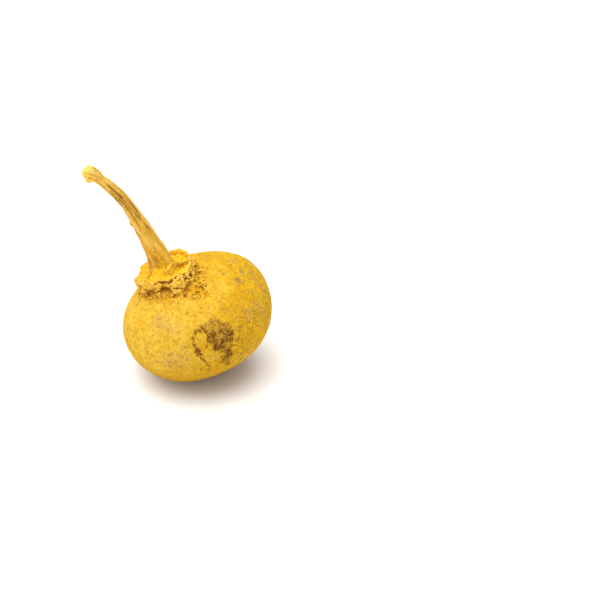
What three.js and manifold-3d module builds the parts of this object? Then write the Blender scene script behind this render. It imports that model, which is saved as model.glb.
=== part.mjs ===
// A baobab fruit pod with its woody stalk, in millimetres, +Z up.
// The origin is the centre of the small flat spot that the pod rests on.
//
// The pod is a squashed, slightly lopsided globe whose growth axis leans to the left (-X).
// A crusty cork collar sits round the foot of the stalk, and the stalk rises out of it,
// bends over to the left and ends in the knob where it left the branch.

import * as THREE from "three";
import { mergeVertices } from "three/addons/utils/BufferGeometryUtils.js";
import Module from "manifold-3d";

// Pod body: half sizes of the globe across, front to back and along its growth axis
const BODY_HALF_WIDTH = 57.1;
const BODY_HALF_DEPTH = 54.2;
const BODY_HALF_HEIGHT = 43.9;
const BODY_LEAN_DEG = 16;
const BODY_CENTRE = new THREE.Vector3(1.2, -0.6, 46.5);
const BODY_STEPS_AROUND = 56;
const BODY_STEPS_DOWN = 36;

// Where the globe swells (height over 0) or is hollowed, as directions from its centre
const BODY_SWELLS = [
  { name: "shoulder away from the stalk", azimuth: 45, elevation: 25, height: 4.0, spread: 0.13 },
  { name: "flank below the stalk", azimuth: 153, elevation: 18, height: -2.4, spread: 0.3 },
  { name: "flattened front", azimuth: -49, elevation: -39, height: -2.5, spread: 0.15 },
  { name: "belly it rests on", azimuth: -2, elevation: -64, height: 4.1, spread: 0.25 },
];

// Collar: a shallow saucer with a raised rim and a skirt that hugs the pod's shoulder
const COLLAR_CENTRE = new THREE.Vector3(-20, -4.6, 92.4);
const COLLAR_LEAN_DEG = 16;
const SAUCER_DEPTH = 4;
const RIM_RADIUS = 20;
const RIM_WIDTH = 2.4;
const RIM_INNER_DROP = 0.4;
const RIM_OUTER_DROP = 1.2;
const SKIRT_RADIUS = 24;
const SKIRT_TUCK = 0.5;
const SKIRT_DROP = 9;
const ROOT_RADIUS = 20;
const ROOT_DEPTH = 22;
const COLLAR_STEPS_AROUND = 48;

// The rim waves in and out and up and down round the ring, as cork does when it dries
const RIM_WAVE_OUT = 0.05;
const RIM_WAVE_UP = 1.2;
const RIM_WAVES = [
  { turns: 3, share: 0.5, start: 0.6 },
  { turns: 7, share: 0.3, start: 0 },
  { turns: 11, share: 0.2, start: 2 },
];

// Stalk: its centreline as X, Z and the radius there, all in one upright plane
const STALK_Y = -4.6;
const STALK_STATIONS = [
  { x: -17.2, z: 79.0, radius: 11.0 },
  { x: -20.6, z: 88.5, radius: 11.6 },
  { x: -23.0, z: 97.0, radius: 9.9 },
  { x: -25.0, z: 106.0, radius: 8.4 },
  { x: -29.0, z: 116.0, radius: 6.9 },
  { x: -33.0, z: 126.0, radius: 6.0 },
  { x: -37.4, z: 135.5, radius: 4.8 },
  { x: -42.0, z: 145.0, radius: 4.2 },
  { x: -48.2, z: 154.5, radius: 4.1 },
  { x: -55.0, z: 162.0, radius: 4.0 },
  { x: -62.8, z: 168.6, radius: 4.0 },
  { x: -67.6, z: 171.4, radius: 3.8 },
];
const KNOB_CENTRE = new THREE.Vector3(-68.8, STALK_Y, 172);
const KNOB_HALF_LENGTH = 6.8;
const KNOB_HALF_WIDTH = 5.8;
const KNOB_LEAN_DEG = 60;
const KNOB_STEPS_DOWN = 14;
const STALK_STEPS_AROUND = 20;
const STALK_STEPS_ALONG = 34;

// Space left between pieces that grew against each other
const GAP = 0.3;

// Corners closer than this are one corner
const SAME_CORNER = 1e-4;

const radians = THREE.MathUtils.degToRad;
const wasm = await Module();
wasm.setup();

function withPositionsOnly(geometry) {
  geometry.deleteAttribute("normal");
  geometry.deleteAttribute("uv");
  return mergeVertices(geometry, SAME_CORNER);
}

function moveVertices(geometry, place) {
  const position = geometry.attributes.position;
  const point = new THREE.Vector3();
  for (let i = 0; i < position.count; i += 1) {
    point.fromBufferAttribute(position, i);
    place(point);
    position.setXYZ(i, point.x, point.y, point.z);
  }
  return geometry;
}

function toSolid(geometry) {
  return new wasm.Manifold(
    new wasm.Mesh({
      numProp: 3,
      vertProperties: new Float32Array(geometry.attributes.position.array),
      triVerts: new Uint32Array(geometry.index.array),
    }),
  );
}

function toGeometry(solid) {
  const mesh = solid.getMesh();
  const geometry = new THREE.BufferGeometry();
  geometry.setAttribute("position", new THREE.BufferAttribute(mesh.vertProperties, 3));
  geometry.setIndex(new THREE.BufferAttribute(mesh.triVerts, 1));
  geometry.computeVertexNormals();
  return geometry;
}

function directionOf(azimuth, elevation) {
  const level = Math.cos(radians(elevation));
  return new THREE.Vector3(
    level * Math.cos(radians(azimuth)),
    level * Math.sin(radians(azimuth)),
    Math.sin(radians(elevation)),
  );
}

// Distance from the globe's centre to its skin in a given unit direction
function bodyRadius(direction) {
  const lean = radians(BODY_LEAN_DEG);
  const across = direction.x * Math.cos(lean) + direction.z * Math.sin(lean);
  const along = direction.z * Math.cos(lean) - direction.x * Math.sin(lean);
  let radius = 1 / Math.hypot(
    across / BODY_HALF_WIDTH,
    direction.y / BODY_HALF_DEPTH,
    along / BODY_HALF_HEIGHT,
  );
  for (const swell of BODY_SWELLS) {
    const towards = directionOf(swell.azimuth, swell.elevation).dot(direction);
    radius += swell.height * Math.exp((towards - 1) / swell.spread);
  }
  return radius;
}

function globe(allowance) {
  const sphere = withPositionsOnly(
    new THREE.SphereGeometry(1, BODY_STEPS_AROUND, BODY_STEPS_DOWN).rotateX(Math.PI / 2),
  );
  return toSolid(
    moveVertices(sphere, (point) => {
      point.normalize();
      point.multiplyScalar(bodyRadius(point) + allowance).add(BODY_CENTRE);
    }),
  );
}

// The globe cut level at the origin's height, which leaves the flat spot
function bodyGeometry() {
  const size = 4 * BODY_HALF_WIDTH;
  const ground = withPositionsOnly(
    new THREE.BoxGeometry(size, size, size).translate(0, 0, -size / 2),
  );
  return toGeometry(globe(0).subtract(toSolid(ground)));
}

function rimWave(angle) {
  let wave = 0;
  for (const { turns, share, start } of RIM_WAVES) {
    wave += share * Math.sin(turns * angle + start);
  }
  return wave;
}

function collarGeometry(stalkRoom, bodyRoom) {
  const profile = [
    [0, -ROOT_DEPTH],
    [ROOT_RADIUS, -ROOT_DEPTH],
    [SKIRT_RADIUS, -SKIRT_DROP],
    [SKIRT_RADIUS - SKIRT_TUCK, -SKIRT_DROP / 2],
    [RIM_RADIUS + RIM_WIDTH, -RIM_OUTER_DROP],
    [RIM_RADIUS + RIM_WIDTH / 2, 0],
    [RIM_RADIUS, -RIM_INNER_DROP],
    [RIM_RADIUS - RIM_WIDTH, -SAUCER_DEPTH / 2],
    [RIM_RADIUS / 2, -SAUCER_DEPTH],
    [0, -SAUCER_DEPTH],
  ].map(([radius, height]) => new THREE.Vector2(radius, height));
  const ring = withPositionsOnly(new THREE.LatheGeometry(profile, COLLAR_STEPS_AROUND));
  moveVertices(ring, (point) => {
    const outward = Math.hypot(point.x, point.z) / SKIRT_RADIUS;
    const wave = rimWave(Math.atan2(point.z, point.x)) * outward ** 2;
    point.x *= 1 + RIM_WAVE_OUT * wave;
    point.z *= 1 + RIM_WAVE_OUT * wave;
    point.y += RIM_WAVE_UP * wave;
  });
  ring.rotateX(Math.PI / 2);
  ring.rotateY(-radians(COLLAR_LEAN_DEG));
  ring.translate(COLLAR_CENTRE.x, COLLAR_CENTRE.y, COLLAR_CENTRE.z);
  return toGeometry(toSolid(ring).subtract(bodyRoom).subtract(stalkRoom));
}

function radiusAlong(share) {
  const last = STALK_STATIONS.length - 1;
  const below = Math.min(Math.floor(share * last), last - 1);
  const fraction = share * last - below;
  return THREE.MathUtils.lerp(
    STALK_STATIONS[below].radius,
    STALK_STATIONS[below + 1].radius,
    fraction,
  );
}

// A straight turned rod of unit stations, then bent along the centreline
function stalkSolid(allowance) {
  const centreline = new THREE.CatmullRomCurve3(
    STALK_STATIONS.map((station) => new THREE.Vector3(station.x, STALK_Y, station.z)),
  );
  const profile = [new THREE.Vector2(0, 0)];
  for (let i = 0; i <= STALK_STEPS_ALONG; i += 1) {
    const share = i / STALK_STEPS_ALONG;
    profile.push(new THREE.Vector2(radiusAlong(share) + allowance, share));
  }
  profile.push(new THREE.Vector2(0, 1));
  const rod = withPositionsOnly(new THREE.LatheGeometry(profile, STALK_STEPS_AROUND));
  const sideways = new THREE.Vector3(0, 1, 0);
  moveVertices(rod, (point) => {
    const share = THREE.MathUtils.clamp(point.y, 0, 1);
    const tangent = centreline.getTangent(share);
    const across = new THREE.Vector3().crossVectors(sideways, tangent);
    const offset = across.multiplyScalar(point.x).addScaledVector(sideways, -point.z);
    point.copy(centreline.getPoint(share)).add(offset);
  });
  const knob = withPositionsOnly(new THREE.SphereGeometry(1, STALK_STEPS_AROUND, KNOB_STEPS_DOWN));
  knob.scale(KNOB_HALF_WIDTH, KNOB_HALF_LENGTH, KNOB_HALF_WIDTH);
  knob.rotateX(Math.PI / 2);
  knob.rotateY(-radians(KNOB_LEAN_DEG));
  knob.translate(KNOB_CENTRE.x, KNOB_CENTRE.y, KNOB_CENTRE.z);
  return toSolid(rod).add(toSolid(knob));
}

function namedMesh(name, geometry, colour, roughness) {
  const material = new THREE.MeshStandardMaterial({ color: colour, roughness, metalness: 0 });
  const mesh = new THREE.Mesh(geometry, material);
  mesh.name = name;
  return mesh;
}

const bodyRoom = globe(GAP);
const pod = new THREE.Group();
pod.add(
  namedMesh("pod_body", bodyGeometry(), 0xe0a81e, 0.85),
  namedMesh("calyx_collar", collarGeometry(stalkSolid(GAP), bodyRoom), 0xd8a040, 0.95),
  namedMesh("stalk", toGeometry(stalkSolid(0).subtract(bodyRoom)), 0xc9973a, 0.85),
);

export default pod;
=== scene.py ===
"""A baobab fruit pod with its crusty collar and bent stalk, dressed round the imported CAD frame."""

import itertools
import math

import bpy
import numpy as np
import openvdb
from mathutils import Matrix, Vector


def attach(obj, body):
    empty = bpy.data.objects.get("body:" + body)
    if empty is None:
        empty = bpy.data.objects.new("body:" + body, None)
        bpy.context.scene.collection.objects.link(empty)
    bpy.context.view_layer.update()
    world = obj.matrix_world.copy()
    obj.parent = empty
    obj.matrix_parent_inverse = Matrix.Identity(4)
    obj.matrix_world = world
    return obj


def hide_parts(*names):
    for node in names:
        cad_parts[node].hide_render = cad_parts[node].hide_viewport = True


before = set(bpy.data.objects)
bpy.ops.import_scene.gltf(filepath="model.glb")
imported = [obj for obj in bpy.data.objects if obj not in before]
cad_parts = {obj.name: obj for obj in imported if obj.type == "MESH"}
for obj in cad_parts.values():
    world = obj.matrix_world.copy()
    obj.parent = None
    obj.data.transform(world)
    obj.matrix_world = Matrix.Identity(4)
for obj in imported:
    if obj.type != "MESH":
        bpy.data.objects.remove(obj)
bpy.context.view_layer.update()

# Sizes and places below are in millimetres, in the row's frame, unless a name says otherwise.
MM = 0.001

# The pod body
GLOBE_CENTRE = np.array([1.2, -0.6, 46.5])
GLOBE_GRID = 127  # quads along each side of the six patches that cover it

# The collar: the middle of its saucer at rim height, and its axis, which leans to -X
SAUCER_CENTRE = np.array([-20.0, -4.6, 92.4])
SAUCER_LEAN = math.radians(16)
SAUCER_AXIS = np.array([-math.sin(SAUCER_LEAN), 0.0, math.cos(SAUCER_LEAN)])
SAUCER_RIGHT = np.array([math.cos(SAUCER_LEAN), 0.0, math.sin(SAUCER_LEAN)])
SAUCER_BACK = np.array([0.0, 1.0, 0.0])
COLLAR_BOX = (-30.0, -30.0, -21.6), (30.0, 30.0, 9.6)  # in the saucer's own frame
COLLAR_VOXEL = 0.4
CRUMB_COUNT = 80

# The stalk's centreline (x, z) and its radius there, all in one upright plane
STALK_Y = -4.6
STALK_STATIONS = [
    (-17.2, 79.0, 11.0),
    (-20.6, 88.5, 11.4),
    (-23.0, 97.0, 9.7),
    (-25.0, 106.0, 8.2),
    (-29.4, 116.0, 7.0),
    (-33.6, 126.0, 6.3),
    (-38.2, 135.5, 5.4),
    (-43.0, 145.0, 4.8),
    (-49.1, 154.3, 4.6),
    (-55.6, 161.8, 4.3),
    (-62.8, 168.6, 4.1),
    (-68.8, 172.2, 5.4),
    (-74.4, 174.6, 4.6),
]
STALK_RING_STEP = 0.42
STALK_SIDES = 144
BARK_RADIUS = 4.6  # of the straight rod on which the grain of the bark is laid out

# Camera and light
CAMERA_LENS = 100.0
CAMERA_DISTANCE = 1271.0
CAMERA_DOWN = math.radians(35)
CAMERA_AIM = np.array([1.9, -0.6, 46.75])
CAMERA_SIDESTEP = 81.0  # the pod stands left of the picture's middle
CAMERA_RAISE = 8.25
SENSOR_WIDTH = 36.0
FLOOR_HALF_SIZE_M = 6.0
FLOOR_GREY = 0.88
SKY_STRENGTH = 0.57
# Wide soft lamps: the direction that the light comes from, its width in degrees, its strength
LAMPS = {
    "overhead": ((-0.15, 0.05, 1.0), 70, 3.4),
    "left": ((-1.0, -0.5, 0.8), 50, 0.75),
}


# ---------------------------------------------------------------- numbers and noise

rng = np.random.default_rng(11)
GRADIENTS = rng.normal(size=(256, 3))
GRADIENTS = (GRADIENTS / np.linalg.norm(GRADIENTS, axis=1, keepdims=True)).astype(np.float32)
SCATTER = rng.random((256, 3)).astype(np.float32)


def ramp(value, low, high):
    """0 below low, 1 above high, smooth between; low may be above high."""
    share = np.clip((value - low) / (high - low), 0, 1)
    return share * share * (3 - 2 * share)


def bump(value, middle, width):
    return np.exp(-(((value - middle) / width) ** 2))


def capsule(points, start, end, radius):
    """Distance to a rounded rod from start to end."""
    along = end - start
    share = np.clip((points - start) @ along / max(along @ along, 1e-9), 0, 1)
    return np.linalg.norm(points - start - share[:, None] * along, axis=1) - radius


def turn_bump(angle, middle, width):
    """A bump over a direction round a ring, both in degrees."""
    return bump((angle - middle + 180) % 360 - 180, 0, width)


def hashed(cell, seed):
    """A number from 0 to 255 for each cell of a whole-number grid."""
    mixed = cell[:, 0] * 73856093 ^ cell[:, 1] * 19349663 ^ cell[:, 2] * 83492791 ^ seed * 9737333
    mixed = (mixed ^ (mixed >> 13)) * 1274126177
    return (mixed ^ (mixed >> 16)) & 255


def noise(points, size, seed=0):
    """Smooth noise from about -1 to 1, with lumps about `size` across."""
    scaled = (points / size).astype(np.float32)
    cell = np.floor(scaled).astype(np.int64)
    inside = scaled - cell
    eased = inside**3 * (inside * (inside * 6 - 15) + 10)
    total = np.zeros(len(scaled), np.float32)
    for corner in itertools.product((0, 1), repeat=3):
        corner = np.array(corner)
        gradient = GRADIENTS[hashed(cell + corner, seed)]
        weight = np.prod(np.where(corner, eased, 1 - eased), axis=1)
        total += weight * ((inside - corner) * gradient).sum(1)
    return total * 1.6


def layered(points, size, layers, seed=0):
    """Noise with finer and fainter noise on it."""
    return sum(noise(points, size / 2**k, seed + k) / 2**k for k in range(layers))


def warped(points, size, amount, seed=0):
    """The points, each moved by up to about `amount`."""
    return points + amount * np.stack([noise(points, size, seed + k) for k in range(3)], 1)


def cells(points, size, seed=0):
    """Distances to the nearest and second nearest of scattered seeds, in units of `size`."""
    scaled = (points / size).astype(np.float32)
    cell = np.floor(scaled).astype(np.int64)
    inside = scaled - cell
    first = np.full(len(scaled), 9, np.float32)
    second = first.copy()
    for step in itertools.product((-1, 0, 1), repeat=3):
        step = np.array(step)
        away = np.linalg.norm(step + SCATTER[hashed(cell + step, seed)] - inside, axis=1)
        second = np.minimum(second, np.maximum(first, away))
        first = np.minimum(first, away)
    return first, second


# ---------------------------------------------------------------- meshes


def normals_of(points, quads):
    corner = points[quads]
    face = np.cross(corner[:, 2] - corner[:, 0], corner[:, 3] - corner[:, 1])
    total = np.zeros_like(points)
    for k in range(3):
        for side in range(4):
            total[:, k] += np.bincount(quads[:, side], face[:, k], len(points))
    return total / np.maximum(np.linalg.norm(total, axis=1, keepdims=True), 1e-12)


def relaxed(values, quads, rounds):
    """Per-vertex values, each averaged with its neighbours' a number of times."""
    values = np.asarray(values, float)
    flat = values.reshape(len(values), -1)
    share = np.bincount(np.ravel(quads), minlength=len(flat))
    for _ in range(rounds):
        face_mean = flat[quads].mean(1)
        total = np.zeros_like(flat)
        for k in range(flat.shape[1]):
            for side in range(4):
                total[:, k] += np.bincount(quads[:, side], face_mean[:, k], len(flat))
        flat = total / np.maximum(share, 1)[:, None]
    return flat.reshape(values.shape)


def new_piece(name, points, quads, corner_uvs, masks):
    """A smooth mesh object from points in millimetres, with a bake map and per-vertex masks."""
    mesh = bpy.data.meshes.new(name)
    mesh.from_pydata((points * MM).tolist(), [], quads.tolist())
    layer = mesh.uv_layers.new(name="OFBake")
    layer.uv.foreach_set("vector", np.asarray(corner_uvs, np.float32).ravel())
    for mask, values in masks.items():
        attribute = mesh.attributes.new(mask, "FLOAT", "POINT")
        attribute.data.foreach_set("value", np.asarray(values, np.float32))
    mesh.validate()
    mesh.shade_smooth()
    piece = bpy.data.objects.new(name, mesh)
    bpy.context.scene.collection.objects.link(piece)
    return piece


def finish_piece(piece, material, node):
    piece.data.materials.append(material)
    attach(piece, "root")
    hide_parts(node)


# ---------------------------------------------------------------- materials


class Shader:
    """A material with one Principled shader, and short ways to add nodes to it."""

    def __init__(self, name, **sockets):
        self.material = bpy.data.materials.new(name)
        self.material.use_nodes = True
        self.tree = self.material.node_tree
        self.principled = self.tree.nodes["Principled BSDF"]
        for socket, value in sockets.items():
            self.principled.inputs[socket.replace("_", " ")].default_value = value
        self.place = self.node("ShaderNodeTexCoord").outputs["Object"]

    def node(self, kind, **settings):
        node = self.tree.nodes.new(kind)
        for setting, value in settings.items():
            setattr(node, setting, value)
        return node

    def wire(self, value, socket):
        if isinstance(value, bpy.types.NodeSocket):
            self.tree.links.new(value, socket)
        else:
            socket.default_value = value

    def mask(self, name):
        return self.node("ShaderNodeAttribute", attribute_name=name).outputs["Fac"]

    def math(self, operation, a, b):
        node = self.node("ShaderNodeMath", operation=operation)
        for value, socket in zip((a, b), node.inputs):
            self.wire(value, socket)
        return node.outputs[0]

    def times(self, a, b):
        return self.math("MULTIPLY", a, b)

    def plus(self, a, b):
        return self.math("ADD", a, b)

    def noise(self, size_mm, detail, roughness):
        """Noise from 0 to 1 with lumps about size_mm across, in the object's own space."""
        node = self.node("ShaderNodeTexNoise")
        self.wire(self.place, node.inputs["Vector"])
        node.inputs["Scale"].default_value = 1 / (size_mm * MM)
        node.inputs["Detail"].default_value = detail
        node.inputs["Roughness"].default_value = roughness
        return node.outputs["Fac"]

    def spots(self, spacing_mm, core, edge, strength):
        """Scattered round spots: `strength` within the core, 0 past the edge, in spacings."""
        node = self.node("ShaderNodeTexVoronoi")
        self.wire(self.place, node.inputs["Vector"])
        node.inputs["Scale"].default_value = 1 / (spacing_mm * MM)
        return self.between(node.outputs["Distance"], core, edge, strength, 0)

    def between(self, value, low, high, to_low=0.0, to_high=1.0):
        """value's range low..high mapped smoothly to to_low..to_high and held there."""
        node = self.node("ShaderNodeMapRange", interpolation_type="SMOOTHSTEP")
        for number, socket in zip((value, low, high, to_low, to_high), node.inputs):
            self.wire(number, socket)
        return node.outputs["Result"]

    def swing(self, noise, amount):
        """Noise turned into a value that swings between -amount and amount."""
        return self.between(noise, 0.35, 0.65, -amount, amount)

    def mixed(self, factor, first, second):
        node = self.node("ShaderNodeMix", data_type="RGBA")
        self.wire(factor, node.inputs[0])
        for colour, socket in ((first, node.inputs[6]), (second, node.inputs[7])):
            self.wire(colour if isinstance(colour, bpy.types.NodeSocket) else (*colour, 1), socket)
        return node.outputs[2]

    def stained(self, colour, value, low, high, amount, stain):
        """The colour, mixed towards the stain by up to `amount` as the value goes low..high."""
        return self.mixed(self.between(value, low, high, 0, amount), colour, stain)

    def colour(self, value):
        self.wire(value, self.principled.inputs["Base Color"])

    def roughness(self, value):
        self.wire(value, self.principled.inputs["Roughness"])

    def bumps(self, height, distance_mm, strength):
        node = self.node("ShaderNodeBump")
        node.inputs["Distance"].default_value = distance_mm * MM
        node.inputs["Strength"].default_value = strength
        self.wire(height, node.inputs["Height"])
        self.wire(node.outputs["Normal"], self.principled.inputs["Normal"])


# ---------------------------------------------------------------- pod body


def cube_sphere(count):
    """Even unit directions over a ball in six square patches, their quads and their bake map."""
    step = np.arange(count + 1)
    across, up = (grid.ravel() for grid in np.meshgrid(step, step, indexing="ij"))
    corner = (step[:-1, None] * (count + 1) + step[None, :-1]).ravel()
    patch_quads = np.stack([corner, corner + count + 1, corner + count + 2, corner + 1], 1)
    keys, quads, uvs = [], [], []
    for patch in range(6):
        axis, sign = patch % 3, 1 if patch < 3 else -1
        key = np.zeros((len(across), 3), int)
        key[:, axis] = sign * count
        key[:, (axis + 1) % 3] = 2 * across - count
        key[:, (axis + 2) % 3] = sign * (2 * up - count)
        keys.append(key)
        quads.append(patch_quads + patch * len(across))
        margin = 0.006
        place = np.stack([across, up], 1) / count * (1 - 2 * margin) + margin
        tile = np.array([patch % 3, patch // 3])
        uvs.append(((place + tile) / (3, 2))[patch_quads])
    keys, joined = np.unique(np.concatenate(keys), axis=0, return_inverse=True)
    directions = np.tan(keys / count * math.pi / 4)
    directions /= np.linalg.norm(directions, axis=1, keepdims=True)
    return directions, joined.ravel()[np.concatenate(quads)], np.concatenate(uvs)


def powers(directions, degree=9):
    """Products of powers of x, y and z, which together can follow any smooth globe."""
    terms = [
        (i, j, k)
        for i, j, k in itertools.product(range(degree + 1), repeat=3)
        if degree - 1 <= i + j + k <= degree
    ]
    x, y, z = ([axis**n for n in range(degree + 1)] for axis in directions.T)
    return np.stack([x[i] * y[j] * z[k] for i, j, k in terms], 1)


def globe_radius(lowest=1.5):
    """The CAD globe's radius as a smooth function of direction, without its flat spot."""
    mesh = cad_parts["pod_body"].data
    corners = np.array([vertex.co for vertex in mesh.vertices]) / MM
    corners = corners[corners[:, 2] > lowest] - GLOBE_CENTRE
    radius = np.linalg.norm(corners, axis=1)
    weights = np.linalg.lstsq(powers(corners / radius[:, None]), radius, rcond=None)[0]
    return lambda directions: powers(directions) @ weights


def saucer_coordinates(points):
    """x to the right, y to the back and h along the axis, from the saucer's middle."""
    away = points - SAUCER_CENTRE
    return away @ SAUCER_RIGHT, away @ SAUCER_BACK, away @ SAUCER_AXIS


def skirt_reach(angle):
    """How far the crust reaches from the saucer's axis, in each direction round it, in degrees."""
    reach = 21.5 + 1.2 * np.sin(np.radians(3 * angle + 40))
    reach += 3.6 * turn_bump(angle, -52, 22)
    reach -= 3.0 * turn_bump(angle, -112, 24)
    reach -= 1.5 * turn_bump(angle, 5, 22)
    return reach + 3.0 * turn_bump(angle, 172, 22)


# Stains: direction from the globe's centre (azimuth, elevation in degrees), radius, strength
BROWN_STAINS = [
    (-71, 28, 3.8, 0.50),
    (-67, 29, 3.2, 0.60),
    (-75, 26, 3.6, 0.45),
    (-65, 25, 3.4, 0.62),
    (-70, 24, 3.6, 0.55),
    (-61, 22, 4.0, 0.75),
    (-66, 19, 4.2, 0.75),
    (-71, 18, 3.8, 0.80),
    (-63, 15, 3.6, 1.00),
    (-58, 17, 3.2, 1.15),
    (-59, 13, 2.8, 1.10),
    (-73, 15, 3.2, 0.90),
    (-71, 11, 2.6, 0.95),
    (-66, 12, 2.0, 0.80),
    (-50, 18, 3.4, 0.42),
    (-53, 11, 2.4, 0.40),
    (-71, 8, 1.7, 1.05),
    (-68, 9, 2.2, 0.85),
    (-65, 8, 2.2, 0.90),
    (-62, 4, 2.6, 1.00),
    (-60, 0, 2.9, 1.05),
    (-63, -2, 2.4, 0.90),
    (-65, -4, 2.0, 0.95),
    (-61, -8, 2.2, 0.75),
    (-60, -13, 2.2, 0.75),
    (-80.5, 25, 2.4, 1.00),
    (-84, 24, 1.4, 0.80),
    (-85.5, 8, 2.3, 0.95),
    (-84, 4, 2.0, 0.80),
    (-82, 0, 1.9, 0.80),
    (-71, -10, 1.2, 0.90),
    (-49, -6, 1.2, 0.80),
    (-46, -14, 1.6, 0.70),
    (118, -12, 6.0, 0.90),
    (127, -4, 4.5, 0.80),
    (108, -18, 3.5, 0.60),
    (20, -25, 4.0, 0.50),
]
GREY_STAINS = [
    (-120, 27, 7.5, 0.55),
    (-124, 28, 1.6, 1.00),
    (-108, 25, 6.5, 0.50),
    (-126, 23, 4.5, 0.45),
    (-98, 9, 2.4, 0.65),
    (-104, 1, 5.5, 0.62),
    (-109, -4, 6.5, 0.62),
    (-95, 2, 5.0, 0.45),
    (-112, -2, 3.0, 0.50),
    (-100, -8, 6.0, 0.35),
    (-107, 39, 2.0, 0.60),
    (2, 48, 3.0, 0.95),
    (-17, 49, 2.6, 0.95),
    (9, 39, 3.0, 0.80),
    (0, 36, 2.4, 0.80),
    (-1, 31, 2.2, 0.60),
    (-2, 25, 2.6, 0.75),
    (25, 52, 3.4, 0.60),
    (20, 58, 2.4, 0.60),
    (-16, 62, 1.6, 0.60),
    (-23, 26, 4.4, 0.55),
    (-36, 28, 3.4, 0.50),
    (-22, 18, 3.2, 0.75),
    (-36, 24, 4.4, 0.45),
    (-18, 11, 3.0, 0.50),
    (-166, 20, 3.0, 0.60),
    (-158, 7, 3.0, 0.50),
    (-159, -1, 3.0, 0.40),
    (-45, -8, 7.0, 0.35),
    (75, 30, 6.0, 0.60),
    (95, 5, 4.0, 0.60),
    (165, -15, 5.0, 0.50),
    (40, -5, 4.0, 0.50),
    (140, 30, 3.0, 0.60),
]
PAINTED_LIGHT_SIDE = np.array([-0.68, -0.40, 0.61])  # painted light: the skin is made paler on this side, the side towards the lamps
# Wide parts of the skin that are peppered with small dark spots
SPOTTY_PARTS = [
    (5, 45, 16, 0.9),
    (-20, 22, 12, 0.8),
    (-62, 12, 16, 0.9),
    (-55, -12, 12, 0.8),
    (-105, -2, 16, 0.7),
    (-85, -20, 14, 0.6),
    (-122, 26, 10, 0.5),
    (-160, 10, 12, 0.5),
    (70, 20, 18, 0.7),
    (125, -10, 16, 0.8),
    (170, -20, 12, 0.6),
    (35, -15, 16, 0.6),
]
# Where the skin is crazed into small cells with dark seams
CRAZED_PARTS = [(-66, 14, 10, 1.0), (-63, -2, 7, 0.9), (-72, 5, 5, 0.6), (120, -12, 8, 0.9)]
# Where the skin beside the crust is torn and ruddy
RUDDY_PARTS = [
    (-78, 61, 5.0, 1.0),
    (-72, 54, 4.5, 0.9),
    (-88, 54, 4.5, 0.9),
    (-100, 54, 3.0, 0.9),
    (-60, 74, 3.5, 0.8),
    (-150, 45, 3.0, 0.8),
]
# The darkest cracks, between those cells and beside the crust, as lines through such directions
CRACK_LINES = [
    [(-80, 25), (-86, 23), (-90, 19), (-89, 15), (-87, 11), (-85, 8), (-80, 10), (-77, 12)],
    [(-77, 12), (-76, 17), (-77, 21), (-80, 25)],
    [(-85, 8), (-84, 4), (-82, 0), (-79, -5), (-77, -10), (-76, -14)],
    [(-73, 10), (-69, 9), (-65, 8), (-62, 4), (-60, 0), (-63, -4), (-61, -9), (-60, -14)],
    [(-66, 12), (-69, 8), (-65, 3)],
    [(112, -8), (118, -14), (126, -12), (130, -6)],
    [(-84, 71), (-72, 66), (-65, 61)],
    [(-80, 64), (-69, 59)],
    [(-92, 60), (-100, 54)],
    [(-84, 57), (-76, 56)],
    [(-65, 80), (-50, 77)],
]


def directions_of(spots):
    """Unit vectors for azimuths and elevations in degrees."""
    azimuth, elevation = np.radians(np.asarray(spots, float)).T
    level = np.cos(elevation)
    return np.stack([level * np.cos(azimuth), level * np.sin(azimuth), np.sin(elevation)], 1)


def on_globe(spots, radius_at):
    towards = directions_of(spots)
    return GLOBE_CENTRE + towards * radius_at(towards)[:, None]


def stain_mask(points, stains, radius_at, seed):
    """Ragged stains: 1 at the heart of each, fading to 0 past its wandering edge."""
    wander = layered(points, 6.0, 3, seed)
    fine = layered(points, 1.9, 2, seed + 9)
    hearts = on_globe([stain[:2] for stain in stains], radius_at)
    mask = np.zeros(len(points))
    for heart, (_, _, size, strength) in zip(hearts, stains):
        away = np.linalg.norm(points - heart, axis=1) + size * 0.4 * wander + 0.7 * fine
        mask = np.maximum(mask, strength * ramp(away, 1.55 * size, 0.5 * size))
    return mask


def crack_mask(points, radius_at):
    """The drawn cracks and the seams of the crazed parts, 1 along their middle."""
    bent = warped(warped(points, 4.5, 1.3, 71), 1.6, 0.5, 77)
    lines = np.zeros(len(points))
    for line in CRACK_LINES:
        stops = on_globe(line, radius_at)
        for start, end in zip(stops, stops[1:]):
            lines = np.maximum(lines, bump(capsule(bent, start, end, 0), 0, 1.05))
    first, second = cells(warped(points, 4.0, 1.3, 78), 5.0, 79)
    seams = ramp(second - first, 0.24, 0.03) * stain_mask(points, CRAZED_PARTS, radius_at, 81)
    broken = 0.35 + 0.65 * ramp(layered(points, 3.0, 2, 75), -0.5, 0.3)
    return np.maximum(lines, 0.9 * seams) * broken


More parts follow.
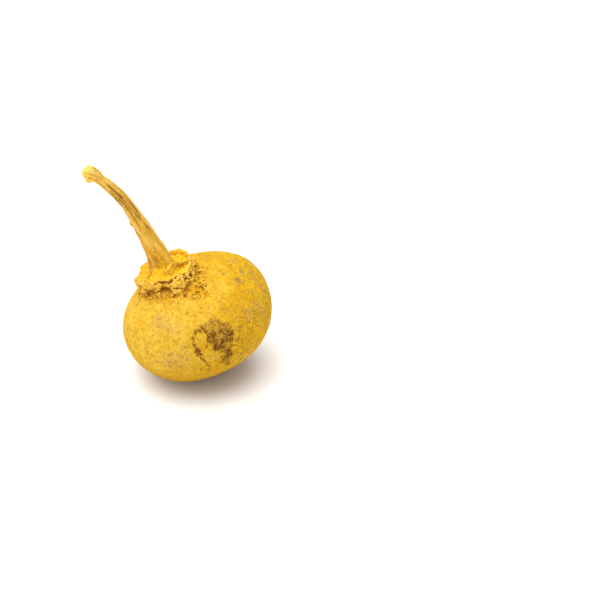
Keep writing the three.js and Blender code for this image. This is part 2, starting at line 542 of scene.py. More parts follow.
def make_body(radius_at):
    directions, quads, uvs = cube_sphere(GLOBE_GRID)
    skin = GLOBE_CENTRE + directions * radius_at(directions)[:, None]
    x, y, height = saucer_coordinates(skin)
    from_axis = np.hypot(x, y)
    angle = np.degrees(np.arctan2(y, x))
    past_crust = np.where(height > -26, from_axis - skirt_reach(angle), 60.0)

    brown = stain_mask(skin, BROWN_STAINS, radius_at, 20)
    grey = stain_mask(skin, GREY_STAINS, radius_at, 30)
    crack = crack_mask(skin, radius_at)
    # Fibres and cracks that run out from under the crust, most of all on the right
    bent = warped(skin, 7.0, 2.2, 46)
    x, y, _ = saucer_coordinates(bent)
    spread = 26 / np.hypot(x, y)
    run = np.stack([x * spread, y * spread, past_crust * 0.3], 1)
    fibre = noise(run, 3.4, 40) + 0.6 * noise(run, 1.7, 41)
    reach = 8 + 9 * turn_bump(angle, -20, 38) + 5 * noise(skin, 8, 42) + 2.5 * noise(skin, 3, 43)
    rooty = ramp(past_crust, reach, -1.0) ** 0.7
    rooty = np.maximum(rooty, stain_mask(skin, RUDDY_PARTS, radius_at, 60))
    streaky = turn_bump(angle, -12, 45)
    crumbs = np.abs(layered(warped(skin, 4.0, 1.2, 44), 4.6, 2, 50)) - 0.3

    relief = 0.30 * noise(skin, 34, 1) + 0.18 * layered(skin, 11, 2, 2)
    relief += 0.20 * layered(skin, 3.6, 2, 4) + 0.14 * noise(skin, 1.6, 7)
    relief += rooty * (1.3 * crumbs + 0.55 * fibre * (0.4 + streaky) + 0.35 * noise(skin, 2.0, 48))
    relief -= 0.14 * brown * (1 + 2.0 * layered(skin, 2.4, 2, 8))
    relief -= 0.35 * crack
    # For painted shade and light: how far each point lies below its smoothed neighbours, which
    # darkens recesses and lightens crests in the colour
    painted_shading = relaxed(relief, quads, 6) - relief
    shape = skin + directions * relief[:, None]
    flat = 0.35 * np.log1p(np.exp(np.clip(shape[:, 2] / 0.35, -30, 30)))
    shape[:, 2] = np.where(shape[:, 2] < 8, flat, shape[:, 2])

    masks = {
        "brown": brown,
        "grey": grey,
        "crack": crack,
        "painted_shading": painted_shading,
        "rooty": rooty,
        "spotty": stain_mask(skin, SPOTTY_PARTS, radius_at, 35),
        # Painted shade: 0 from 34 mm up, rising to 1 at the floor
        "low": ramp(shape[:, 2], 34, 2),
        # Painted light: 1 on the side towards the lamps, fading out away from it
        "painted_light": ramp(directions @ PAINTED_LIGHT_SIDE, -0.3, 0.8),
    }
    piece = new_piece("pod_body_skin", shape, quads, uvs, masks)
    finish_piece(piece, body_material(), "pod_body")
    return skin


# The colours of the skin
DEEP_GOLD = (0.62, 0.32, 0.005)
GOLD = (0.70, 0.405, 0.009)
# Painted light: the next colour is the skin made paler on its lamp side
PAINTED_LIGHT_GOLD = (0.74, 0.475, 0.05)
LIGHT_GRAIN = (0.76, 0.48, 0.014)
DARK_GRAIN = (0.50, 0.23, 0.002)
BRIGHT_DUST = (0.86, 0.57, 0.035)
# Painted light: the next colour is the light grain made whiter on the lamp side
PAINTED_LIGHT_DUST = (0.84, 0.62, 0.15)
FINE_PIT = (0.33, 0.135, 0.001)
MOTTLE = (0.56, 0.285, 0.004)
# Painted shade: the next colour darkens the pod's underside
PAINTED_UNDERSIDE_SHADE = (0.385, 0.18, 0.001)
TORN_SKIN = (0.54, 0.22, 0.003)
TORN_PIT = (0.36, 0.135, 0.003)
GREY_CAST = (0.50, 0.33, 0.10)
GREY_SPOT = (0.20, 0.11, 0.022)
TAN_STAIN = (0.46, 0.24, 0.032)
BROWN_STAIN = (0.20, 0.078, 0.008)
BLACK_STAIN = (0.075, 0.028, 0.005)
CRACK = (0.12, 0.050, 0.006)
# Painted shade in recesses, and painted highlight on crests
PAINTED_RECESS_SHADE = (0.26, 0.09, 0.002)
PAINTED_CREST_LIGHT = (0.80, 0.52, 0.05)
FEW_SPOTS = (0.20, 0.085, 0.006)
MANY_SPOTS = (0.25, 0.110, 0.006)


def body_material():
    shader = Shader("pod_skin", Specular_IOR_Level=0.04, IOR=1.4, Sheen_Weight=0.025,
                    Sheen_Roughness=0.5, Sheen_Tint=(1.0, 0.80, 0.35, 1))
    fine = shader.noise(1.5, 3, 0.7)
    grain = shader.noise(3.4, 4, 0.65)
    cloud = shader.noise(14, 4, 0.6)
    # Painted light: the skin is made paler on the lamp side, with cloudy edges
    painted_light = shader.plus(shader.mask("painted_light"), shader.swing(cloud, 0.25))
    colour = shader.mixed(shader.between(cloud, 0.38, 0.62), DEEP_GOLD, GOLD)
    colour = shader.stained(colour, painted_light, 0.3, 1.1, 0.7, PAINTED_LIGHT_GOLD)
    rough_part = shader.between(shader.noise(22, 2, 0.5), 0.4, 0.6, 0.40, 1.0)
    # Painted light: the grain shows less on the lit side and more on the shaded side
    rough_part = shader.times(rough_part, shader.between(painted_light, 0.2, 0.9, 1.5, 0.75))
    light = shader.times(rough_part, shader.between(grain, 0.47, 0.62, 0, 0.55))
    colour = shader.mixed(light, colour, LIGHT_GRAIN)
    dark = shader.times(rough_part, shader.between(grain, 0.45, 0.33, 0, 0.6))
    colour = shader.mixed(dark, colour, DARK_GRAIN)
    light = shader.times(rough_part, shader.between(fine, 0.50, 0.62, 0, 0.75))
    # Light grains, made whiter on the lamp side by painted light
    dust_and_painted_light = shader.mixed(shader.between(painted_light, 0.2, 0.9), BRIGHT_DUST, PAINTED_LIGHT_DUST)
    colour = shader.mixed(light, colour, dust_and_painted_light)
    dark = shader.times(rough_part, shader.between(fine, 0.48, 0.38, 0, 0.7))
    colour = shader.mixed(dark, colour, FINE_PIT)
    mottled = shader.between(shader.noise(6.5, 3, 0.6), 0.50, 0.66, 0, 0.6)
    colour = shader.mixed(mottled, colour, MOTTLE)
    # Painted shade: the skin is darkened towards the bottom
    low = shader.times(shader.mask("low"), shader.between(cloud, 0.35, 0.6, 0.65, 1.0))
    colour = shader.mixed(low, colour, PAINTED_UNDERSIDE_SHADE)
    speckled = shader.plus(shader.swing(grain, 0.22), shader.swing(fine, 0.25))
    roots = shader.plus(shader.mask("rooty"), speckled)
    colour = shader.stained(colour, roots, 0.25, 1.1, 0.7, TORN_SKIN)
    colour = shader.stained(colour, roots, 0.75, 1.3, 0.7, TORN_PIT)
    grey = shader.plus(shader.mask("grey"), speckled)
    colour = shader.stained(colour, grey, -0.1, 0.9, 0.6, GREY_CAST)
    colour = shader.stained(colour, grey, 0.6, 1.2, 0.85, GREY_SPOT)
    mottle = shader.between(shader.noise(1.8, 3, 0.7), 0.36, 0.64, -0.38, 0.38)
    brown = shader.plus(shader.mask("brown"), speckled)
    colour = shader.stained(colour, brown, -0.1, 0.55, 0.82, TAN_STAIN)
    knots = shader.plus(brown, mottle)
    colour = shader.stained(colour, knots, 0.35, 1.0, 0.85, BROWN_STAIN)
    colour = shader.stained(colour, knots, 0.95, 1.5, 0.9, BLACK_STAIN)
    crack = shader.plus(shader.mask("crack"), speckled)
    colour = shader.stained(colour, crack, 0.1, 0.9, 0.88, CRACK)
    # Painted shade in recesses and painted highlight on crests
    painted_shading = shader.mask("painted_shading")
    colour = shader.stained(colour, painted_shading, 0.05, 0.32, 0.9, PAINTED_RECESS_SHADE)
    colour = shader.stained(colour, painted_shading, -0.08, -0.30, 0.5, PAINTED_CREST_LIGHT)
    spots = shader.spots(6.5, 0.06, 0.13, 0.70)
    spots = shader.times(spots, shader.between(cloud, 0.50, 0.42))
    # Painted light: the specks are fainter on the lit side
    spots = shader.times(spots, shader.between(painted_light, 0.3, 0.9, 1.0, 0.45))
    colour = shader.mixed(spots, colour, FEW_SPOTS)
    spotty = shader.plus(shader.mask("spotty"), shader.swing(grain, 0.4))
    spots = shader.spots(3.1, 0.12, 0.30, 0.70)
    spots = shader.times(spots, shader.between(spotty, 0.55, 1.25))
    # Painted light: the specks are fainter on the lit side
    spots = shader.times(spots, shader.between(painted_light, 0.3, 0.9, 1.0, 0.6))
    colour = shader.mixed(spots, colour, MANY_SPOTS)
    shader.colour(colour)
    shader.roughness(shader.between(grain, 0.3, 0.7, 0.75, 0.92))
    height = shader.plus(fine, shader.times(shader.noise(0.45, 2, 0.5), 0.5))
    shader.bumps(height, 0.5, 0.9)
    return shader.material


# ---------------------------------------------------------------- stalk


def smooth_path(stations, step):
    """Catmull-Rom through the stations, resampled at even steps along its length."""
    known = np.asarray(stations, float)
    padded = np.vstack([2 * known[0] - known[1], known, 2 * known[-1] - known[-2]])
    share = np.linspace(0, len(known) - 1, 1200)
    span = np.minimum(share.astype(int), len(known) - 2)
    t = (share - span)[:, None]
    a, b, c, d = (padded[span + k] for k in range(4))
    path = 0.5 * (2 * b + (c - a) * t + (2 * a - 5 * b + 4 * c - d) * t**2
                  + (3 * b - a - 3 * c + d) * t**3)
    length = np.concatenate([[0], np.cumsum(np.linalg.norm(np.diff(path[:, :2], axis=0), axis=1))])
    even = np.linspace(0, length[-1], int(length[-1] / step) + 1)
    return np.stack([np.interp(even, length, column) for column in path.T], 1), even


def tube_quads(rings, sides):
    ring = np.arange(rings - 1)[:, None] * sides
    side = np.arange(sides)[None]
    after = (side + 1) % sides
    quads = np.stack([ring + side, ring + after, ring + sides + after, ring + sides + side], 2)
    across = np.stack([side, side + 1, side + 1, side], 2) / sides
    along = np.stack([ring, ring, ring + sides, ring + sides], 2) / sides / (rings - 1)
    across = np.broadcast_to(across, (rings - 1, sides, 4))
    along = np.broadcast_to(along, (rings - 1, sides, 4))
    uvs = np.stack([across * 0.99 + 0.005, along * 0.99 + 0.005], 3)
    return quads.reshape(-1, 4), uvs.reshape(-1, 4, 2)


def make_stalk():
    path, along = smooth_path(STALK_STATIONS, STALK_RING_STEP)
    total = along[-1]
    centre = np.stack([path[:, 0], np.full(len(path), STALK_Y), path[:, 1]], 1)
    tangent = np.gradient(centre, axis=0)
    tangent /= np.linalg.norm(tangent, axis=1, keepdims=True)
    sideways = np.array([0.0, 1.0, 0.0])
    across = np.cross(sideways, tangent)
    theta = np.arange(STALK_SIDES) / STALK_SIDES * 2 * math.pi
    twist = theta[None] + 0.006 * along[:, None]
    round_x, round_y = np.cos(twist), np.sin(twist)
    to_tip = (total - along)[:, None]

    # Where each point of the bark lies on a straight, untapered stalk, which the grain follows
    height = np.broadcast_to(along[:, None], twist.shape)
    bark = np.stack([round_x * BARK_RADIUS, round_y * BARK_RADIUS, height], 2).reshape(-1, 3)
    fibre = noise(bark, np.array([1.1, 1.1, 15.0]), 60)
    fibre += 0.6 * noise(bark, np.array([0.6, 0.6, 7.0]), 61)
    flute = noise(bark, np.array([2.7, 2.7, 46.0]), 62)
    groove = ramp(noise(bark, np.array([0.9, 0.9, 8.0]), 63), 0.40, 0.75)
    fleck = ramp(noise(bark, np.array([0.8, 0.8, 1.8]), 64), 0.58, 0.78)
    wart = ramp(noise(bark, np.array([1.5, 1.5, 2.5]), 67), 0.62, 0.85)
    lump = layered(bark, 7.0, 2, 65)
    fibre, flute, groove, fleck, wart, lump = (
        part.reshape(twist.shape) for part in (fibre, flute, groove, fleck, wart, lump)
    )
    turn = np.degrees(theta)[None]
    foot = ramp(along[:, None], 34, 12)
    radius = path[:, 2][:, None] * (1 + 0.035 * lump + 0.02 * np.cos(2 * twist + 1))
    radius = radius + 0.32 * fibre + (0.48 + 0.8 * foot) * flute + 0.35 * wart
    radius = radius - 0.35 * groove - 0.25 * fleck
    # A nodule on the left, and the slit where the bark has split near the top
    radius = radius + 1.7 * turn_bump(turn, 176, 15) * bump(along[:, None], 58, 1.6)
    slit = turn_bump(turn, -62, 9) * ramp(bump(to_tip, 27, 8), 0.2, 0.6)
    radius = radius - 0.5 * slit
    # The knob: a heel on its under side, a nick behind the heel, and a rounded, scarred end
    under = turn_bump(turn, 195, 38)
    radius = radius + 1.4 * under * bump(to_tip, 7.0, 2.0) - 0.9 * under * bump(to_tip, 10.8, 1.6)
    radius = radius - 1.3 * under * bump(to_tip, 1.6, 2.4)
    upper = turn_bump(turn, 0, 75)
    radius = radius + upper * (ramp(to_tip, 13.8, 11.0) - 0.5 * bump(to_tip, 15.0, 1.3))
    radius = radius - 0.8 * turn_bump(turn, 212, 16) * bump(to_tip, 6.4, 1.0)
    closing = np.sqrt(np.clip(1 - (1 - np.clip(to_tip / 5.2, 0, 1)) ** 2.4, 0, 1))
    opening = np.sqrt(np.clip(1 - (1 - np.clip(along[:, None] / 4.0, 0, 1)) ** 2, 0, 1))
    radius = np.maximum(radius * closing * opening, 0.02)
    dark = np.maximum(np.maximum(groove, 0.9 * fleck), slit)
    dark = np.maximum(dark, turn_bump(turn, 212, 14) * bump(to_tip, 6.4, 1.0))

    offset = across[:, None] * np.cos(theta)[None, :, None]
    offset = offset + sideways * np.sin(theta)[None, :, None]
    points = (centre[:, None] + offset * radius[:, :, None]).reshape(-1, 3)
    quads, uvs = tube_quads(len(path), STALK_SIDES)
    masks = {
        "groove": dark.ravel(),
        "fibre": (0.5 + 0.5 * np.clip(0.8 * fibre + 0.9 * flute + wart, -1, 1)).ravel(),
        "height": np.broadcast_to((along / total)[:, None], twist.shape).ravel(),
    }
    piece = new_piece("stalk_bark", points, quads, uvs, masks)
    finish_piece(piece, stalk_material(), "stalk")


# The colours of the stalk
FOOT_BARK = (0.66, 0.33, 0.008)
UPPER_BARK = (0.70, 0.395, 0.05)
KNOB_BARK = (0.86, 0.56, 0.085)
CLOUDED_BARK = (0.54, 0.27, 0.012)
FOOT_FIBRE = (0.76, 0.45, 0.025)
UPPER_FIBRE = (0.82, 0.53, 0.14)
BETWEEN_FIBRES = (0.27, 0.115, 0.006)
BARK_GROOVE = (0.13, 0.05, 0.006)


def stalk_material():
    shader = Shader("dry_stalk", Specular_IOR_Level=0.25, IOR=1.45, Sheen_Weight=0.08)
    grain = shader.noise(1.0, 4, 0.65)
    cloud = shader.noise(9, 3, 0.6)
    height = shader.mask("height")
    colour = shader.mixed(shader.between(height, 0.2, 0.7), FOOT_BARK, UPPER_BARK)
    colour = shader.stained(colour, height, 0.86, 0.94, 0.95, KNOB_BARK)
    colour = shader.stained(colour, cloud, 0.42, 0.6, 0.5, CLOUDED_BARK)
    fibre = shader.plus(shader.mask("fibre"), shader.swing(grain, 0.15))
    light = shader.mixed(shader.between(height, 0.15, 0.5), FOOT_FIBRE, UPPER_FIBRE)
    colour = shader.stained(colour, fibre, 0.50, 0.85, 0.9, light)
    dark = shader.between(fibre, 0.44, 0.18, 0, 0.85)
    dark = shader.times(dark, shader.between(height, 0.13, 0.25, 0.45, 1.0))
    dark = shader.times(dark, shader.between(height, 0.88, 0.94, 1.0, 0.45))
    colour = shader.mixed(dark, colour, BETWEEN_FIBRES)
    groove = shader.plus(shader.mask("groove"), shader.swing(grain, 0.2))
    colour = shader.stained(colour, groove, 0.25, 0.9, 0.85, BARK_GROOVE)
    shader.colour(colour)
    shader.roughness(shader.between(grain, 0.3, 0.7, 0.68, 0.88))
    shader.bumps(shader.plus(grain, shader.noise(0.4, 2, 0.5)), 0.2, 0.8)
    return shader.material


# ---------------------------------------------------------------- collar

# The crust's lumps and ridges: two ends, each a direction round the axis in degrees, a distance
# from it and a height, and how thick they are
CORK_RIDGES = [
    ((-160, 19.2, -2.8), (-141, 17.6, -2.2), 3.5),
    ((-140, 17.4, -2.8), (-122, 16.2, -2.4), 3.0),
    ((-176, 21.4, -3.6), (-160, 21.2, -5.6), 2.8),
    ((-134, 18.6, -4.6), (-122, 17.6, -4.6), 1.5),
    ((-152, 20.4, -6.4), (-148, 20.8, -9.0), 1.9),
    ((-124, 17.0, -2.9), (-98, 17.4, -2.3), 1.7),
    ((-108, 18.4, -4.4), (-96, 20.6, -8.2), 0.9),
    ((-86, 18.2, -2.4), (-74, 19.2, -3.0), 1.2),
    ((-80, 19.0, -2.9), (-74, 22.8, -9.0), 1.1),
    ((-64, 20.2, -3.6), (-55, 21.4, -5.4), 3.1),
    ((-56, 20.2, -1.8), (-46, 20.4, -2.4), 1.7),
    ((-70, 22.6, -8.8), (-58, 22.8, -9.6), 1.7),
    ((-37, 20.4, -1.6), (-34, 22.0, -5.8), 1.0),
    ((-34, 22.0, -5.8), (-33, 23.4, -9.6), 1.2),
    ((-46, 21.6, -5.4), (-38, 22.4, -7.2), 1.1),
    ((-50, 23.4, -9.6), (-42, 23.6, -10.2), 1.0),
    ((-34, 20.4, -2.6), (-10, 20.2, -3.0), 1.4),
    ((-30, 22.2, -7.2), (-22, 22.6, -9.0), 1.4),
    ((-20, 21.2, -6.0), (-2, 20.4, -5.0), 1.4),
    ((-40, 23.4, -9.6), (-34, 24.2, -11.6), 1.2),
    ((6, 20.2, -2.6), (24, 20.6, -2.4), 1.2),
    ((34, 20.8, -3.4), (60, 20.8, -3.6), 1.8),
    ((72, 20.6, -3.6), (96, 19.8, -4.0), 2.2),
    ((104, 20.2, -4.6), (128, 19.8, -4.6), 2.4),
    ((138, 20.4, -4.4), (160, 20.6, -4.8), 2.4),
    ((176, 22.0, -9.0), (164, 22.4, -10.6), 1.8),
]
CORK_HOLLOWS = [
    ((-149, 23.0, -9.6), (-147, 20.2, -9.4), 1.0),
    ((-119, 19.6, -6.2), (-118, 16.8, -5.6), 1.3),
    ((-101, 19.6, -5.8), (-82, 19.8, -6.0), 2.5),
    ((-92, 21.4, -8.6), (-82, 21.6, -9.0), 1.8),
    ((-78, 18.4, -0.9), (-66, 20.2, -2.2), 0.8),
    ((-72, 22.2, -6.0), (-58, 24.0, -7.6), 0.7),
    ((-48, 22.8, -4.2), (-48, 20.6, -3.8), 1.1),
    ((-44, 25.2, -8.8), (-40, 22.6, -8.6), 1.5),
    ((-29, 23.0, -4.8), (-27, 21.4, -5.0), 0.8),
    ((-14, 22.0, -3.8), (-10, 19.8, -3.8), 0.8),
    ((30, 22.6, -4.6), (30, 19.8, -4.6), 1.2),
    ((66, 23.0, -5.0), (66, 20.0, -5.0), 1.3),
    ((100, 22.6, -6.0), (100, 19.6, -6.0), 1.5),
    ((133, 22.8, -6.8), (133, 19.8, -6.8), 1.4),
]
# The folded flap that stands in the saucer to the right of the stalk
FLAP = [
    (-70, 11.4, 4.6),
    (-50, 9.8, 5.8),
    (-28, 9.2, 5.4),
    (-8, 10.4, 4.2),
    (2, 13.0, 2.8),
    (6, 17.8, 1.0),
]
STALK_FOOT = -1.65  # where the stalk's axis crosses the saucer, to the left of the middle


def rim_radius(angle):
    return 20.0 - 3.2 * turn_bump(angle, -100, 42) + 1.0 * turn_bump(angle, 62, 25)


def rim_height(angle):
    raised = 1.1 * turn_bump(angle, -95, 40) + 1.0 * turn_bump(angle, 50, 30)
    return raised + 1.2 * turn_bump(angle, 150, 22) - 0.4


def around(spot):
    """A spot given as direction, distance and height, as a point in the saucer's own frame."""
    angle, distance, height = spot
    angle = math.radians(angle)
    return np.array([distance * math.cos(angle), distance * math.sin(angle), height])


def standing_wall(points, start, end, thickness):
    """Distance to an upright wall between two spots, from their height down."""
    start, end = around(start), around(end)
    along = (end - start)[:2]
    share = np.clip((points[:, :2] - start[:2]) @ along / (along @ along), 0, 1)
    aside = np.linalg.norm(points[:, :2] - start[:2] - share[:, None] * along, axis=1)
    return np.maximum(aside - thickness, points[:, 2] - start[2] - share * (end - start)[2])


def smooth_least(a, b, blend):
    mix = np.clip(0.5 + 0.5 * (b - a) / blend, 0, 1)
    return b + (a - b) * mix - blend * mix * (1 - mix)


def shoulder_height(skin):
    """The pod's skin under the collar as a height over the saucer's plane, fitted to the body."""
    x, y, height = saucer_coordinates(skin)
    near = (np.hypot(x, y) < 36) & (height > -30)

    def terms(x, y):
        return np.stack([x**i * y**j for i in range(5) for j in range(5 - i)], -1)

    weights = np.linalg.lstsq(terms(x[near] / 30, y[near] / 30), height[near], rcond=None)[0]
    return lambda x, y: terms(x / 30, y / 30) @ weights


def crumb_list():
    """Small crumbs of cork scattered all round the crust: a spot and a size each."""
    scatter = np.random.default_rng(5)
    crumbs = []
    for _ in range(CRUMB_COUNT):
        angle = scatter.uniform(-180, 180)
        level = scatter.random() ** 0.7
        distance = rim_radius(angle) + (skirt_reach(angle) - rim_radius(angle)) * level
        height = -2.0 - 8.5 * level + scatter.normal() * 0.8
        spot = around((angle, distance + scatter.normal() * 0.5, height))
        crumbs.append((spot, scatter.uniform(0.6, 1.5)))
    return crumbs


def collar_field(local, shoulder):
    """Signed distance to the collar's surface, in millimetres: negative inside the cork."""
    bent = warped(warped(local, 6.0, 1.0, 80), 1.9, 0.5, 84)
    x, y, height = bent.T
    distance = np.hypot(x, y)
    angle = np.degrees(np.arctan2(y, x))
    radius, lip = rim_radius(angle), rim_height(angle)
    grit = layered(local, 1.9, 2, 96)
    knobbly = layered(local, 3.8, 2, 98)

    # The saucer: a floor that rises to a thin lip, wrinkled outward from the stalk
    turn = np.radians(angle)
    rays = np.stack([np.cos(turn) * 9, np.sin(turn) * 9, distance / 9], 1)
    wrinkle = noise(rays, 1.9, 90) + 0.5 * noise(rays, 0.9, 91)
    share = np.clip(distance / radius, 0, 1.2)
    from_stalk = np.hypot(x - STALK_FOOT, y)
    way = np.degrees(np.arctan2(y, x - STALK_FOOT))
    climb = 8.0 + 4.0 * turn_bump(way, -55, 50)
    mound = climb * (1 + 0.2 * wrinkle + 0.12 * grit)
    mound *= np.exp(-np.maximum(from_stalk - 9, 0) / 2.7)
    floor = -3.4 + (3.4 + lip) * share**3.4 + 0.35 * wrinkle * ramp(share, 0.3, 0.6) + mound
    floor = np.minimum(floor, 6.6)
    thickness = 0.9 + 7.0 * ramp(distance, radius - 1.0, radius - 7.0)
    field = np.maximum(np.maximum(height - floor, distance - radius), floor - thickness - height)
    for start, end in zip(FLAP, FLAP[1:]):
        field = smooth_least(field, standing_wall(bent, start, end, 0.8), 1.5)
    # Cork packed under the saucer, down to the pod's shoulder
    inner = radius - 3.6 - 0.12 * height - 3.0 * turn_bump(angle, -91, 14)
    core = np.maximum(distance - inner, height - floor + 0.8)
    field = smooth_least(field, core, 0.8)
    # The back of the rim rolls outward into a fat lip
    roll = np.hypot(distance - radius + 0.2, height - lip + 0.2)
    field = smooth_least(field, roll - 1.5 * turn_bump(angle, 48, 45) - 0.3, 0.8)
    for start, end, size in CORK_RIDGES:
        field = smooth_least(field, capsule(bent, around(start), around(end), size), 0.7)
    for spot, size in crumb_list():
        near = np.abs(bent - spot).max(1) < size + 2.5
        crumb = np.linalg.norm(bent[near] - spot, axis=1) - size
        field[near] = smooth_least(field[near], crumb, 0.5)
    # The cork grows on the skin and follows it a little way out
    ground = height - shoulder(x, y)
    scab = np.maximum(ground - 0.7 - 0.7 * grit, distance - skirt_reach(angle) + 1.5 + 1.5 * grit)
    field = smooth_least(field, scab, 0.6)
    for start, end, size in CORK_HOLLOWS:
        field = np.maximum(field, -capsule(bent, around(start), around(end), size))

    crust = ramp(distance, radius - 2.0, radius + 0.5) + ramp(floor - height, 0.8, 2.0)
    crust = np.clip(crust, 0, 1)
    first, second = cells(bent, 4.2, 95)
    split = ramp(second - first, 0.10, 0.0)
    field = field + crust * (0.36 * grit + 0.55 * knobbly + 0.7 * split) + 0.10 * grit
    return np.maximum(field, -1.2 - (local[:, 2] - shoulder(local[:, 0], local[:, 1])))


def field_surface(field_of, low, high):
    """Points and quads of the zero surface of a signed distance field within a box.

    The field is worked out on a coarse grid, and then finely only where that is near zero.
    """
    finer, slack, outside = 3, 0.7, 3.0
    block = COLLAR_VOXEL * finer
    low = np.array(low)
    counts = [int(round((b - a) / block)) for a, b in zip(low, high)]
    blocks = np.meshgrid(*(np.arange(count) for count in counts), indexing="ij")
    blocks = np.stack(blocks, -1).reshape(-1, 3)
    rough = field_of(low + (blocks + 0.5) * block)
    near = np.abs(rough) < block + slack
    offsets = np.array(list(itertools.product(range(finer), repeat=3)))
    index = (blocks[near][:, None] * finer + offsets).reshape(-1, 3)
    values = rough.reshape(counts)
    for axis in range(3):
        values = values.repeat(finer, axis)
    values[tuple(index.T)] = field_of(low + index * COLLAR_VOXEL)
    volume = openvdb.FloatGrid()
    volume.background = outside
    volume.copyFromArray(np.ascontiguousarray(values, np.float32))
    points, quads = volume.convertToQuads(0.0)
    return np.asarray(points, float) * COLLAR_VOXEL + low, np.asarray(quads, int)


def biggest_part(points, quads):
    """Only the largest connected piece of a mesh, so that no crumb floats."""
    label = np.arange(len(points))
    while True:
        least = label[quads].min(1)
        new = label.copy()
        for side in range(4):
            np.minimum.at(new, quads[:, side], least)
        new = new[new]
        if (new == label).all():
            break
        label = new
    main = np.bincount(label).argmax()
    kept = quads[label[quads[:, 0]] == main]
    used, renumbered = np.unique(kept, return_inverse=True)
    return points[used], renumbered.reshape(-1, 4)


def collar_map(local, quads, normals):
    """A bake map in two parts: the saucer from above, and the crust unrolled round the axis."""
    centre = local[quads].mean(1)
    facing = normals[quads].mean(1)
    angle = np.degrees(np.arctan2(centre[:, 1], centre[:, 0]))
    inner = np.hypot(centre[:, 0], centre[:, 1]) < rim_radius(angle) - 0.5
    top = inner & (facing[:, 2] > 0)
    corner = local[quads]
    flat = corner[:, :, :2] / 58 + 0.5
    round_share = np.degrees(np.arctan2(corner[:, :, 1], corner[:, :, 0])) / 360 + 0.5
    middle = (angle / 360 + 0.5)[:, None]
    round_share = middle + (round_share - middle + 0.5) % 1 - 0.5
    outer = np.hypot(corner[:, :, 0], corner[:, :, 1]) - corner[:, :, 2]
    outer = (outer - outer.min()) / np.ptp(outer)
    top_uv = flat * 0.48 + (0.01, 0.26)
    rolled = np.stack([0.505 + 0.49 * np.clip(round_share, 0, 1), outer * 0.98 + 0.01], 2)
    return np.where(top[:, None, None], top_uv, rolled)


def make_collar(skin):
    shoulder = shoulder_height(skin)
    local, quads = field_surface(lambda grid: collar_field(grid, shoulder), *COLLAR_BOX)
    local, quads = biggest_part(local, quads)
    normals = normals_of(local, quads)
    # For painted shade and light: how far each point lies below its smoothed neighbours
    broad = relaxed(local, quads, 14)
    painted_shading = ((broad - local) * normals).sum(1)
    angle = np.degrees(np.arctan2(local[:, 1], local[:, 0]))
    distance = np.hypot(local[:, 0], local[:, 1])
    saucer = ramp(distance, rim_radius(angle) + 0.3, rim_radius(angle) - 2.0)
    saucer = saucer * ramp(normals[:, 2], -0.2, 0.3) * ramp(local[:, 2], -6.5, -4.0)
    ground = local[:, 2] - shoulder(local[:, 0], local[:, 1])
    masks = {"painted_shading": painted_shading, "saucer": saucer, "ground": ground}
    points = (SAUCER_CENTRE + local[:, :1] * SAUCER_RIGHT + local[:, 1:2] * SAUCER_BACK
              + local[:, 2:] * SAUCER_AXIS)
    piece = new_piece("cork_collar", points, quads, collar_map(local, quads, normals), masks)
    finish_piece(piece, collar_material(), "calyx_collar")


# The colours of the cork
DEEP_TAN = (0.66, 0.32, 0.010)
TAN = (0.76, 0.43, 0.040)
LIGHT_TAN = (0.84, 0.54, 0.075)
SAUCER_DEEP = (0.70, 0.36, 0.005)
SAUCER_GOLD = (0.83, 0.51, 0.018)
# Painted shade over the crevices' own browner cork, deepest in the pits, and painted highlight on
# the crests
PAINTED_SHADE_ON_BROWN_CORK = (0.32, 0.12, 0.004)
PAINTED_CORK_DEEP_SHADE = (0.08, 0.026, 0.002)
PAINTED_CORK_CREST_LIGHT = (0.82, 0.53, 0.10)
CORK_ROOT = (0.54, 0.23, 0.004)


def collar_material():
    shader = Shader("cork_crust", Specular_IOR_Level=0.15, IOR=1.4, Sheen_Weight=0.08)
    fine = shader.noise(0.9, 4, 0.65)
    grain = shader.noise(2.4, 4, 0.65)
    cloud = shader.noise(7, 3, 0.6)
    tan = shader.mixed(shader.between(cloud, 0.38, 0.62), DEEP_TAN, TAN)
    tan = shader.stained(tan, grain, 0.48, 0.66, 0.7, LIGHT_TAN)
    gold = shader.mixed(shader.between(grain, 0.36, 0.6), SAUCER_DEEP, SAUCER_GOLD)
    colour = shader.mixed(shader.mask("saucer"), tan, gold)
    # Painted shade over the crevices' own browner cork, and painted highlight on the crests, both
    # weaker on the saucer
    shade_strength = shader.between(shader.mask("saucer"), 0.3, 1.0, 1.0, 0.6)
    painted_shading = shader.times(shader.mask("painted_shading"), shade_strength)
    painted_shading = shader.plus(painted_shading, shader.swing(fine, 0.08))
    colour = shader.stained(colour, painted_shading, 0.03, 0.3, 0.85, PAINTED_SHADE_ON_BROWN_CORK)
    colour = shader.stained(colour, painted_shading, 0.25, 0.7, 0.9, PAINTED_CORK_DEEP_SHADE)
    colour = shader.stained(colour, painted_shading, -0.12, -0.4, 0.7, PAINTED_CORK_CREST_LIGHT)
    low = shader.between(shader.mask("ground"), 2.6, 0.4, 0, 0.6)
    colour = shader.mixed(low, colour, CORK_ROOT)
    shader.colour(colour)
    shader.roughness(shader.between(grain, 0.3, 0.7, 0.8, 0.95))
    shader.bumps(shader.plus(fine, shader.noise(0.4, 2, 0.5)), 0.3, 0.9)
    return shader.material


# ---------------------------------------------------------------- stage, light and camera


def make_floor():
    mesh = bpy.data.meshes.new("floor")
    half = FLOOR_HALF_SIZE_M
    corners = [(-half, -half, 0), (half, -half, 0), (half, half, 0), (-half, half, 0)]
    mesh.from_pydata(corners, [], [(0, 1, 2, 3)])
    floor = bpy.data.objects.new("floor", mesh)
    bpy.context.scene.collection.objects.link(floor)
    grey = (FLOOR_GREY, FLOOR_GREY, FLOOR_GREY, 1)
    paper = Shader("pale_floor", Base_Color=grey, Roughness=1.0, Specular_IOR_Level=0.0)
    mesh.materials.append(paper.material)


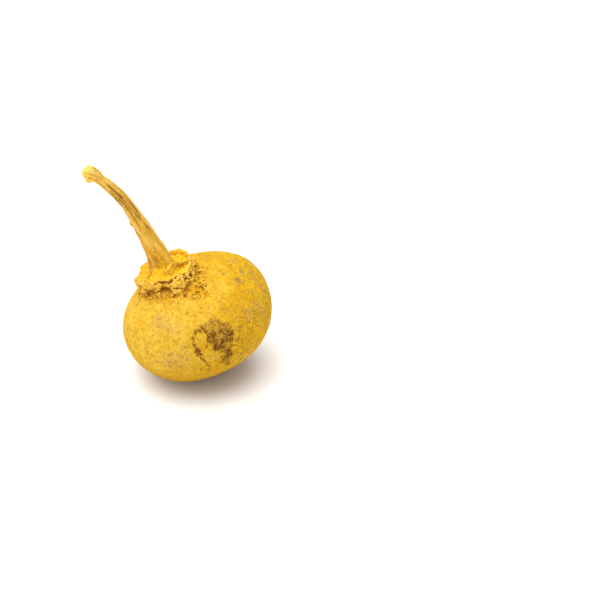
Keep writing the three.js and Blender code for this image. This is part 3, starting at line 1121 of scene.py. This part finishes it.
def make_sky():
    """White light from all sides, and a white backdrop behind whatever the camera sees."""
    world = bpy.data.worlds.new("studio")
    bpy.context.scene.world = world
    world.use_nodes = True
    nodes, links = world.node_tree.nodes, world.node_tree.links
    light, backdrop = nodes["Background"], nodes.new("ShaderNodeBackground")
    light.inputs["Color"].default_value = (1, 1, 1, 1)
    light.inputs["Strength"].default_value = SKY_STRENGTH
    backdrop.inputs["Color"].default_value = (1, 1, 1, 1)
    path, mix = nodes.new("ShaderNodeLightPath"), nodes.new("ShaderNodeMixShader")
    links.new(path.outputs["Is Camera Ray"], mix.inputs["Fac"])
    links.new(light.outputs[0], mix.inputs[1])
    links.new(backdrop.outputs[0], mix.inputs[2])
    links.new(mix.outputs[0], nodes["World Output"].inputs["Surface"])


def make_light(name, direction, width, strength):
    """Soft light from a round patch of sky in a direction, `width` degrees across."""
    lamp = bpy.data.lights.new(name, "SUN")
    lamp.angle, lamp.energy = math.radians(width), strength
    light = bpy.data.objects.new(name, lamp)
    light.rotation_euler = Vector(direction).to_track_quat("Z", "Y").to_euler()
    bpy.context.scene.collection.objects.link(light)


def make_camera():
    right = np.array([1.0, 0.0, 0.0])
    up = np.array([0.0, math.sin(CAMERA_DOWN), math.cos(CAMERA_DOWN)])
    back = np.cross(right, up)
    place = CAMERA_AIM + CAMERA_DISTANCE * back + CAMERA_SIDESTEP * right + CAMERA_RAISE * up
    camera = bpy.data.objects.new("camera", bpy.data.cameras.new("camera"))
    camera.data.lens = CAMERA_LENS
    camera.data.sensor_width = SENSOR_WIDTH
    camera.data.clip_end = 50.0
    turn = Matrix([right, up, back]).transposed().to_4x4()
    camera.matrix_world = Matrix.Translation(place * MM) @ turn
    bpy.context.scene.collection.objects.link(camera)
    bpy.context.scene.camera = camera


make_camera()
make_floor()
make_sky()
for lamp_name, (direction, width, strength) in LAMPS.items():
    make_light(lamp_name, direction, width, strength)
bpy.context.scene.view_settings.view_transform = "Standard"

radius_at = globe_radius()
skin = make_body(radius_at)
make_stalk()
make_collar(skin)
